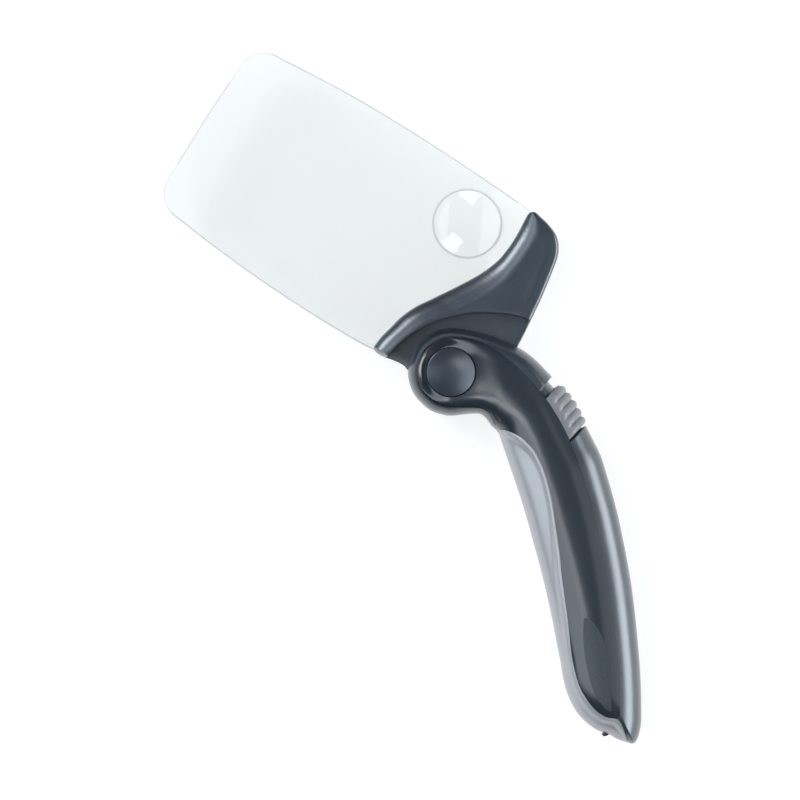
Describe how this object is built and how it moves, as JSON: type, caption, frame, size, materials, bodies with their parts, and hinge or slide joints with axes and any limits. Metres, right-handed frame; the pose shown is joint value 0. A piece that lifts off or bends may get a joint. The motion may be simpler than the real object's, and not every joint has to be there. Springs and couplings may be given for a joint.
{
  "type": "low vision magnifier",
  "caption": "Hand-held reading magnifier: clear rectangular lens with a small round inset on a swinging lit head, curved grip with slide switch and lift-off battery cover.",
  "frame": {"origin": "on the pivot axis, at the flat back pivot cap that the magnifier lies on", "axes": "+Z towards the reader's eye, out of the front face; +X along the lens's long edge, away from the lens; +Y up the page, across the lens"},
  "size_m": [0.2092, 0.1222, 0.024],
  "materials": {
    "satin_body": "satin",
    "gloss_panel": "gloss",
    "spring_steel": "satin",
    "tray_plastic": "matte",
    "cell_wrap": "gloss",
    "board": "satin",
    "switch_case": "satin",
    "resistor_body": "satin",
    "wire_red": "satin",
    "wire_black": "satin",
    "screw_steel": "satin",
    "knob_grey": "satin",
    "silver_cover": "satin",
    "lens_clear": "polished",
    "sleeve_steel": "satin",
    "lamp_clear": "polished",
    "window_clear": "polished"
  },
  "bodies": {
    "handle": {"handle_shell_front": "satin_body", "handle_shell_back": "satin_body", "side_panel_front": "gloss_panel", "side_panel_back": "gloss_panel", "pivot_cap_front": "satin_body", "pivot_cap_back": "satin_body", "friction_washer": "spring_steel", "battery_tray": "tray_plastic", "battery_cell_a": "cell_wrap", "battery_cell_b": "cell_wrap", "contact_springs": "spring_steel", "contact_plates": "spring_steel", "switch_board": "board", "slide_switch": "switch_case", "resistor": "resistor_body", "wire_red_handle": "wire_red", "wire_black_handle": "wire_black", "shell_screws": "screw_steel"},
    "head": {"lens": "lens_clear", "head_shell_front": "satin_body", "head_shell_back": "satin_body", "pivot_sleeve": "sleeve_steel", "led": "lamp_clear", "led_holder": "tray_plastic", "light_window": "window_clear", "head_screws": "screw_steel", "wire_red_head": "wire_red", "wire_black_head": "wire_black"},
    "knob": {"switch_knob": "knob_grey"},
    "cover": {"battery_cover": "silver_cover", "cover_latch": "tray_plastic"}
  },
  "joints": [
    {"name": "head_pivot", "type": "hinge", "parent": "handle", "child": "head", "pos_m": [0, 0, 0.012], "axis": [0, 0, 1], "range_deg": [-28, 106]},
    {"name": "switch_slide", "type": "slide", "parent": "handle", "child": "knob", "axis": [-0.893, 0.4501, 0], "range_m": [0, 0.0024]},
    {"name": "cover_lift", "type": "slide", "parent": "handle", "child": "cover", "axis": [-0.6402, -0.7682, 0], "range_m": [0, 0.012]}
  ]
}
